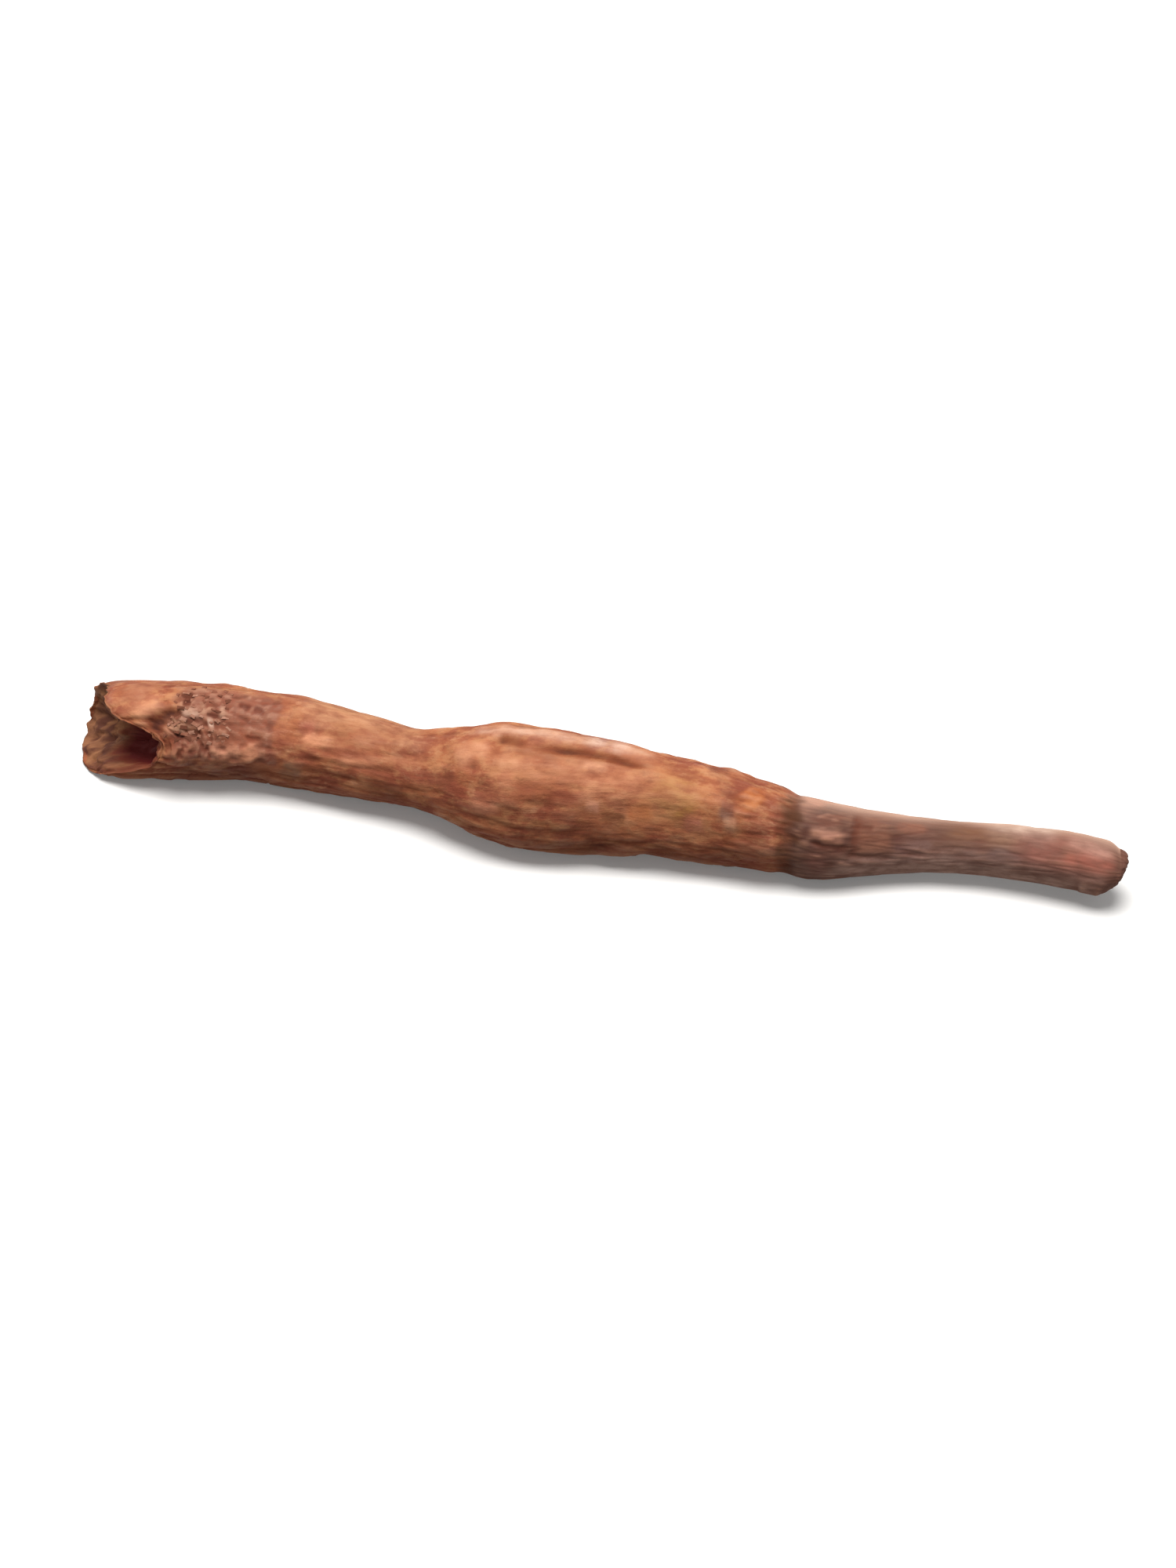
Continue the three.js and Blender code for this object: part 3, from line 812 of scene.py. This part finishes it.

# how far each point stands above or below the bark close round it, and further round it, for its colour:
# furrows darker, partly their own colour and partly painted shade, crests paler, partly rubbed and partly
# painted highlight
barkShades = [
    # rounds of blurring; at how many mm a furrow shows in full, and how much it counts; the same for a crest
    (14, 0.16, 0.6, 0.1, 0.6),
    (90, 0.4, 0.5, 0.25, 0.4),
]
duskyBands = [(0.45, (7, 31, 3)), (0.5, (59, 66, 2))]     # how dusky; mm along from and to, how softly
# painted shade: the side turned away from the light is darkened
paintedShadeSides = {"faces": 12, "from": (78, 118), "share": 0.7}     # degrees round, and degrees from there
valley, crest = 0, 0
for rounds, deep, valleyShare, tall, crestShare in barkShades:
    stands = relief - skin.blurred(relief, rounds)
    valley = valley + np.clip(-stands / deep, 0, 1) * valleyShare
    crest = crest + np.clip(stands / tall, 0, 1) * crestShare
endGrain = np.maximum(rise(0, 0.03, brokenFace), 0.25 * bell(pastRim / 0.35))
# darker in two bands along the root and at random, and with painted shade on the side away from the light
duskyAndPaintedShade = sum(share * zone(skin.along, *band) for share, band in duskyBands)
fromLight = np.abs(turned(skin.around, paintedShadeSides["faces"]))
duskyAndPaintedShade += paintedShadeSides["share"] * rise(*paintedShadeSides["from"], fromLight) + 0.3 * grains["lumps"]
hidden = rise(95, 150, fromFront)                         # 1 on the back and the underside
# the node's stain is faint over the top and weaker on the back, where the bark changes more slowly past it
ringFront = rise(-40, 0, turned(skin.around, 60) + 60)
ringRound = np.maximum(ringFront, 0.7 * rise(35, 80, np.abs(turned(skin.around, -25))))
pastNode = rise(-0.5 - 2 * hidden, 0.7 + 3 * hidden, ringAway + 2 * hidden * scaleNoise)
barkMasks = {
    "valley": valley,
    "crest": crest,
    "smooth": np.clip(swelling + 0.4 * waist + lip, 0, 1),
    "duskyAndPaintedShade": np.clip(duskyAndPaintedShade, 0, 1) * skinZone,
    "crust": crust,
    "chipPale": chipPale,
    "chipHole": chipHole,
    "runner": (skin.face >= 0) * pastNode,
    "farRunner": rise(76, 90, skin.along),
    "scales": scales,
    # painted highlight along the top of the runner
    "runnerTopHighlight": runner * bell(turned(skin.around, -34) / 30) * np.clip(0.95 + 0.6 * grains["lumps"], 0, 1),
    "ring": skinZone * zone(ringAway, *oldNode["stain"]) * ringRound * np.clip(0.7 + 0.8 * scaleNoise, 0, 1),
    "brokenWood": endGrain,
    "lowRim": bell(turned(skin.around, 95) / 60) * (1 - rise(0.1, 0.5, brokenFace)),
    "rot": rot,
    "cutWood": rise(0.14, 0.3, cutFace),
    "pith": pith,
}
for name, values in barkMasks.items():
    writeAttribute(root, name, values)


def paintMarks(piece, marks):
    # the marks laid one over another with uneven edges, as a colour and how much of it covers the bark
    deepened = 0.9       # dry colour sinks in
    colour, cover = np.zeros((skin.count, 3)), np.zeros(skin.count)
    for path, width, tone, share in marks:
        laid = skin.stroke(path, width, 0.3)
        laid = share * np.clip(laid * (1.25 + 0.9 * grains["bumps"] + 0.5 * grains["dashes"]), 0, 1)
        total = laid + cover * (1 - laid)
        part = np.where(total > 0, laid / np.maximum(total, 1e-6), 0)[:, None]
        colour = colour * (1 - part) + deepened * np.array(linearColour(tone)[:3]) * part
        cover = total
    paint = piece.data.attributes.new("paint", "FLOAT_COLOR", "POINT")
    paint.data.foreach_set("color", np.column_stack([colour, cover]).astype(np.float32).ravel())


paintMarks(root, paintedMarks)

# the grain winds slowly round the root, so that its streaks slant
winds = 1.2              # degrees round for each mm along
wound = np.radians(skin.around + winds * skin.along)
winding = np.column_stack([skin.along, -np.sin(wound) * skin.radius, np.cos(wound) * skin.radius])
root.data.attributes["grain"].data.foreach_set("vector", winding.astype(np.float32).ravel())
print("relief done")

# what the bark looks like
barkColours = {
    "orange": "#B56D48",
    "red": "#924C36",
    "brown": "#753F2D",
    "tan": "#BF8259",
    "crest": "#CC9470",
    "furrow": "#6E3826",
    "crack": "#421F19",
    "crust": "#855240",
    "crustPale": "#AA7A66",
    "crustDark": "#4E261B",
    "runner": "#5E3A2E",
    "runnerLow": "#4D3027",
    "runnerFar": "#6E493C",
    "runnerTopHighlight": "#CDA48E",
    "dust": "#735750",
    "flake": "#A07262",
    "ring": "#4E2D1A",
    "wood": "#A06C4A",
    "woodDark": "#61382A",
    "woodRed": "#743423",
    "rot": "#621A19",
    "cutWood": "#7A5246",
    "pith": "#4E2C25",
}


barkPatterns = {
    # noise: mm round the root, how many times longer along it, how many finer steps it has
    "patches": (2.6, 1.5, 5),
    "clouds": (1.9, 1.6, 5),
    "blotches": (1.3, 1.5, 5),
    "spots": (0.8, 1.8, 5),
    "streaks": (0.62, 5.0, 5),
    "dashes": (0.45, 3.2, 3),
    "speckle": (0.4, 1.5, 3),
    "hair": (0.26, 9.0, 3),          # coarser than real bark fibres, so that it shows
    "runnerMottle": (1.3, 3.5, 5),
    "sawMarks": (0.3, 1.0, 3),
}
barkLayers = {
    # the colour underneath, and what lies over it: the pattern or mask that says where, its values where the
    # layer starts and where it is full, the colour or the part above that it brings, how much it covers
    "thinEnd": ("runnerLow", [
        ("runnerMottle", (0.4, 0.6), "runner", 1),
        ("farRunner", None, "runnerFar", 0.5),
        ("hair", (0.45, 0.7), "flake", 0.15),
        ("streaks", (0.5, 0.7), "dust", 0.25),
        ("scales", None, "flake", 0.3),
        # painted highlight along the top of the runner
        ("runnerTopHighlight", None, "runnerTopHighlight", 0.85),
    ]),
    "chips": ("crust", [
        ("speckle", (0.42, 0.62), "red", 0.5),
        ("chipPale", None, "crustPale", 0.6),
        ("chipHole", None, "crustDark", 0.9),
    ]),
    # deeper furrows darker still: partly their own colour, partly painted shade
    "deepFurrow": ("furrow", [
        ("valley", (0.35, 1), "crack", 1),
    ]),
    "tornWood": ("woodDark", [
        ("fibres", (0.4, 0.62), "wood", 1),
        ("lowRim", None, "woodRed", 0.8),
        ("rot", (0, 0.2), "woodRed", 0.8),
        ("rot", (0.15, 0.55), "rot", 0.95),
    ]),
    "sawnWood": ("cutWood", [
        ("sawMarks", (0.45, 0.65), "pith", 0.6),
        ("pith", None, "pith", 1),
    ]),
    "wholeRoot": ("red", [
        ("patches", (0.4, 0.58), "orange", 1),
        ("blotches", (0.5, 0.62), "tan", 0.75),
        ("clouds", (0.54, 0.66), "brown", 0.55),
        # darker bands, and painted shade on the side away from the light
        ("duskyAndPaintedShade", None, "brown", 0.55),
        ("spots", (0.56, 0.7), "furrow", 0.4),
        ("spots", (0.44, 0.3), "crest", 0.4),
        ("streaks", (0.55, 0.72), "furrow", "unrubbed"),
        ("streaks", (0.44, 0.28), "crest", "unrubbed"),
        ("dashes", (0.58, 0.7), "furrow", 0.3),
        ("speckle", (0.6, 0.72), "furrow", 0.3),
        ("runner", None, "thinEnd", 1),
        ("crust", None, "chips", 0.9),
        ("painted", None, "paint", 1),
        # paler crests: partly rubbed, partly painted highlight
        ("crest", None, "crest", 0.35),
        # darker furrows: partly their own colour, partly painted shade
        ("valley", None, "deepFurrow", 0.75),
        ("ring", None, "ring", 0.85),
        ("brokenWood", None, "tornWood", 1),
        ("cutWood", None, "sawnWood", 1),
    ]),
}


def rootBark(colours, patterns, layers):
    # Root bark dried in the air, unwashed: a thin, dull, papery cork over red wood. It gives the eye warm
    # orange-brown crests, rubbed pale and with painted highlight, dark red furrows that hold painted shade,
    # and hardly any shine.
    material, tree = newMaterial("air_dried_root_bark")
    shares = {name: addNode(tree, "ShaderNodeAttribute", attribute_name=name).outputs["Fac"]
              for name in barkMasks}
    grain = addNode(tree, "ShaderNodeAttribute", attribute_name="grain").outputs["Vector"]
    for name, (size, stretch, detail) in patterns.items():
        drawn = addNode(tree, "ShaderNodeMapping", {"Vector": grain, "Scale": (1 / stretch, 1, 1)})
        shares[name] = addNode(tree, "ShaderNodeTexNoise", {
            "Vector": drawn.outputs[0], "Scale": 1 / size, "Detail": detail,
            "Roughness": 0.6}).outputs["Fac"]

    # the torn fibres run up and down the broken face, about 1.1 mm across
    drawn = addNode(tree, "ShaderNodeMapping", {"Vector": grain, "Scale": (1, 1, 0.22)})
    shares["fibres"] = addNode(tree, "ShaderNodeTexNoise", {
        "Vector": drawn.outputs[0], "Scale": 0.9, "Detail": 4.0}).outputs["Fac"]

    # the streaks show less where the bark is rubbed smooth, and the painted marks wear through in spots
    shares["unrubbed"] = addNode(tree, "ShaderNodeMath", {
        0: shares["smooth"], 1: -0.24, 2: 0.4}, operation="MULTIPLY_ADD").outputs[0]
    streaky = addNode(tree, "ShaderNodeMath", {
        0: shares["streaks"], 1: 0.7, 2: -0.35}, operation="MULTIPLY_ADD")
    worn = addNode(tree, "ShaderNodeMath", {0: shares["spots"], 1: streaky.outputs[0]}, operation="ADD")
    uneven = addNode(tree, "ShaderNodeValToRGB", {"Fac": worn.outputs[0]}, ramp=[(0.36, 1.0), (0.66, 0.45)])
    paint = addNode(tree, "ShaderNodeAttribute", attribute_name="paint").outputs
    shares["painted"] = addNode(tree, "ShaderNodeMath", {
        0: paint["Alpha"], 1: uneven.outputs["Color"]}, operation="MULTIPLY").outputs[0]

    tones = {name: linearColour(hexCode) for name, hexCode in colours.items()}
    tones["paint"] = paint["Color"]
    for part, (under, rows) in layers.items():
        tone = tones[under]
        for where, stops, above, strength in rows:
            share = shares[where]
            if stops:
                ramp = sorted(zip(stops, (0.0, 1.0)))
                share = addNode(tree, "ShaderNodeValToRGB", {"Fac": share}, ramp=ramp).outputs["Color"]
            share = addNode(tree, "ShaderNodeMath", {
                0: share, 1: shares.get(strength, strength)}, operation="MULTIPLY").outputs[0]
            tone = addNode(tree, "ShaderNodeMix", {
                0: share, 6: tone, 7: tones[above]}, data_type="RGBA").outputs[2]
        tones[part] = tone

    # dull all over, and least so on the crests, which are rubbed
    furrowed = addNode(tree, "ShaderNodeMath", {0: shares["streaks"], 1: shares["valley"]}, operation="ADD")
    low = addNode(tree, "ShaderNodeMath", {0: furrowed.outputs[0], 1: shares["crest"]}, operation="SUBTRACT")
    dull = addNode(tree, "ShaderNodeValToRGB", {"Fac": low.outputs[0]}, ramp=[(0.0, 0.58), (0.9, 0.88)])
    hairs = addNode(tree, "ShaderNodeMath", {0: shares["hair"], 1: 0.4}, operation="MULTIPLY")
    height = addNode(tree, "ShaderNodeMath", {
        0: shares["speckle"], 1: 0.6, 2: hairs.outputs[0]}, operation="MULTIPLY_ADD")
    bumpiness = addNode(tree, "ShaderNodeMath", {
        0: shares["runner"], 1: -0.45, 2: 0.8}, operation="MULTIPLY_ADD")
    bump = addNode(tree, "ShaderNodeBump", {
        "Height": height.outputs[0], "Strength": bumpiness.outputs[0], "Distance": 0.12 * mm})
    shader = addNode(tree, "ShaderNodeBsdfPrincipled", {
        "Base Color": tones["wholeRoot"], "Roughness": dull.outputs["Color"], "Normal": bump.outputs[0],
        "IOR": 1.45, "Specular IOR Level": 0.22})
    addNode(tree, "ShaderNodeOutputMaterial", {"Surface": shader.outputs[0]})
    return material


root.data.materials.append(rootBark(barkColours, barkPatterns, barkLayers))
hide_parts(rootNode)
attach(root, "root")
print("bark painted")

# crumbs of cork on the crusty patch
crumbLook = {
    "count": 56,
    "tries": 2000,               # places tried at most
    "apart": 0.55,               # mm, the least between two
    "length": (0.26, 0.7),       # mm
    "width": (0.18, 0.36),
    "height": (0.12, 0.2),
    "sunk": 0.75,                # share of the height
    "turn": 40, "lean": 12,      # degrees, the most either way
    "seed": 21,
}


def knockedBlock(jolt, seed):
    # a block with its corners knocked about, a millimetre on each side
    bpy.ops.object.select_all(action="DESELECT")
    bpy.ops.mesh.primitive_cube_add(size=mm)
    bpy.ops.object.mode_set(mode="EDIT")
    bpy.ops.mesh.select_all(action="SELECT")
    bpy.ops.mesh.subdivide(number_cuts=1)
    bpy.ops.transform.vertex_random(offset=jolt * mm, seed=seed)
    bpy.ops.object.mode_set(mode="OBJECT")
    return bpy.context.object


def joined(copies, pattern, name):
    bpy.data.objects.remove(pattern)
    bpy.ops.object.select_all(action="DESELECT")
    for copy in copies:
        copy.select_set(True)
    bpy.context.view_layer.objects.active = copies[0]
    bpy.ops.object.join()
    piece = bpy.context.object
    piece.name = piece.data.name = name
    return piece


def copyOf(pattern, tint):
    copy = bpy.data.objects.new(pattern.name, pattern.data.copy())
    bpy.context.scene.collection.objects.link(copy)
    writeAttribute(copy, "tint", np.full(len(copy.data.vertices), tint))
    return copy


def scattered(pattern, look, allowed, name):
    # copies sunk into the skin at random allowed points, each along the root and then turned a little
    draw = np.random.RandomState(look["seed"])
    spots = np.nonzero(allowed)[0]
    low, high = places[spots].min(axis=0), places[spots].max(axis=0)
    taken, copies = np.full((1, 3), 1e3), []
    for _ in range(look["tries"]):
        if len(copies) == look["count"]:
            break
        # the nearest point to a random place, because the mesh may number its points otherwise each time
        i = spots[np.argmin(np.linalg.norm(places[spots] - draw.uniform(low, high), axis=1))]
        place = places[i]
        if np.min(np.linalg.norm(taken - place, axis=1)) < look["apart"] * mm:
            continue
        taken = np.vstack([taken, place])
        length, width, height = (draw.uniform(*look[edge]) for edge in ("length", "width", "height"))
        normal = Vector(normals[i])
        forward = (Vector((1, 0, 0)) - normal * normal.x).normalized()
        side = normal.cross(forward).normalized()
        up = forward.cross(side)
        basis = Matrix((forward, side, up)).transposed().to_4x4()
        lean = Euler([math.radians(draw.uniform(-look["lean"], look["lean"])) for _ in range(2)]
                     + [math.radians(draw.uniform(-1, 1) * look["turn"])]).to_matrix().to_4x4()
        raised = up * height * (0.5 - look["sunk"]) * mm
        copy = copyOf(pattern, draw.uniform(0, 1))
        copy.data.transform(Matrix.Translation(Vector(place) + raised) @ basis @ lean
                            @ Matrix.Diagonal((length, width, height, 1)))
        copies.append(copy)
    return joined(copies, pattern, name)


crumbly = (crust > 0.5) & (chipHole < 0.35) & (skin.along < crustPatch["crumbled"]) & (skin.around < 64)
crumbs = scattered(knockedBlock(0.2, 4), crumbLook, crumbly, "crumbled_cork")

corkColours = ["#6A3D2C", "#824E3B", "#96644F", "#AE7E69"]     # from the darkest crumb to the palest
corkGrain = 0.35                                               # mm


def crumbledCork(colours, grainSize):
    # Dry cork crumbled by hand: matt all through, each crumb with a tone of its own, so that the eye
    # reads separate crumbs against the bark that they are sunk in.
    material, tree = newMaterial("crumbled_dry_cork")
    tint = addNode(tree, "ShaderNodeAttribute", attribute_name="tint").outputs["Fac"]
    place = addNode(tree, "ShaderNodeTexCoord").outputs["Object"]
    grit = addNode(tree, "ShaderNodeTexNoise", {
        "Vector": place, "Scale": 1 / (grainSize * mm), "Detail": 4.0})
    uneven = addNode(tree, "ShaderNodeMath", {0: grit.outputs["Fac"], 1: 0.5}, operation="SUBTRACT")
    mottled = addNode(tree, "ShaderNodeMath", {0: uneven.outputs[0], 1: 0.9, 2: tint},
                      operation="MULTIPLY_ADD")
    ramp = list(zip((0.1, 0.4, 0.75, 1.0), colours))
    tone = addNode(tree, "ShaderNodeValToRGB", {"Fac": mottled.outputs[0]}, ramp=ramp)
    bump = addNode(tree, "ShaderNodeBump", {
        "Height": grit.outputs["Fac"], "Strength": 0.6, "Distance": 0.08 * mm})
    shader = addNode(tree, "ShaderNodeBsdfPrincipled", {
        "Base Color": tone.outputs["Color"], "Roughness": 0.88, "Normal": bump.outputs[0], "IOR": 1.45,
        "Specular IOR Level": 0.22})
    addNode(tree, "ShaderNodeOutputMaterial", {"Surface": shader.outputs[0]})
    return material


crumbs.data.materials.append(crumbledCork(corkColours, corkGrain))
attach(crumbs, "root")
print("crumbs of cork added")

# the table and the light
studio = {
    "tableSize": 3.0,             # m across
    "tableColour": "#E9E7E4",
    "tableGlow": 0.12,            # lifts it to white
    "tableBounce": "#7C7671",     # what light from it gives the root
    "whiteFrom": 0.14,            # m from the root, past which its shade fades from the table
    "whiteBy": 0.45,              # m, where the table is plain white
    "keySize": 0.45,              # m, the soft lamp overhead
    "keyHeight": 0.7,
    "keyFront": 0.05,             # m in front of the root, so that the shade starts low on its near side
    "keyPower": 6.5,              # W
    "skyStrength": 0.28,
}


def plainRays(tree):
    # 1 for rays that show the white itself: seen straight, in a glint, or through something clear
    path = addNode(tree, "ShaderNodeLightPath")
    share = path.outputs["Is Camera Ray"]
    for kind in ("Is Glossy Ray", "Is Transmission Ray"):
        both = addNode(tree, "ShaderNodeMath", {0: share, 1: path.outputs[kind]}, operation="MAXIMUM")
        share = both.outputs[0]
    return share


def whiteTable(look):
    # Matt white laminate: the eye sees plain white, with only the root's own shadow on it.
    material, tree = newMaterial("matt_white_laminate")
    ray = plainRays(tree)
    matt = addNode(tree, "ShaderNodeBsdfDiffuse", {"Color": linearColour(look["tableColour"])})
    glow = addNode(tree, "ShaderNodeEmission", {"Color": (1, 1, 1, 1), "Strength": look["tableGlow"]})
    lifted = addNode(tree, "ShaderNodeAddShader", {0: matt.outputs[0], 1: glow.outputs[0]})
    place = addNode(tree, "ShaderNodeTexCoord").outputs["Object"]
    away = addNode(tree, "ShaderNodeVectorMath", {0: place}, operation="LENGTH").outputs["Value"]
    farOff = addNode(tree, "ShaderNodeMapRange", {"Value": away, "From Min": look["whiteFrom"],
                                                  "From Max": look["whiteBy"]}).outputs[0]
    plain = addNode(tree, "ShaderNodeEmission", {"Color": (1, 1, 1, 1), "Strength": 1.0})
    white = addNode(tree, "ShaderNodeMixShader", {0: farOff, 1: lifted.outputs[0], 2: plain.outputs[0]})
    bounce = addNode(tree, "ShaderNodeBsdfDiffuse", {"Color": linearColour(look["tableBounce"])})
    seen = addNode(tree, "ShaderNodeMixShader", {0: ray, 1: bounce.outputs[0], 2: white.outputs[0]})
    addNode(tree, "ShaderNodeOutputMaterial", {"Surface": seen.outputs[0]})
    bpy.ops.object.select_all(action="DESELECT")
    bpy.ops.mesh.primitive_plane_add(size=look["tableSize"])
    table = bpy.context.object
    table.name = "table"
    table.data.materials.append(material)


def lightStudio(look):
    lamp = bpy.data.lights.new("overhead softbox", "AREA")
    lamp.shape = "DISK"
    lamp.size, lamp.energy = look["keySize"], look["keyPower"]
    holder = bpy.data.objects.new("overhead softbox", lamp)
    holder.location = (0, -look["keyFront"], look["keyHeight"])
    holder.rotation_euler = (-holder.location).to_track_quat("-Z", "Y").to_euler()
    bpy.context.scene.collection.objects.link(holder)
    world = bpy.data.worlds.new("white room")
    bpy.context.scene.world = world
    world.use_nodes = True
    tree = world.node_tree
    tree.nodes.clear()
    room = addNode(tree, "ShaderNodeBackground", {"Color": (1, 1, 1, 1), "Strength": look["skyStrength"]})
    seen = addNode(tree, "ShaderNodeBackground", {"Color": (1, 1, 1, 1), "Strength": 1.0})
    mixed = addNode(tree, "ShaderNodeMixShader", {
        0: plainRays(tree), 1: room.outputs[0], 2: seen.outputs[0]})
    addNode(tree, "ShaderNodeOutputWorld", {"Surface": mixed.outputs[0]})
    bpy.context.scene.view_settings.view_transform = "Standard"


whiteTable(studio)
lightStudio(studio)
print("table and light set")
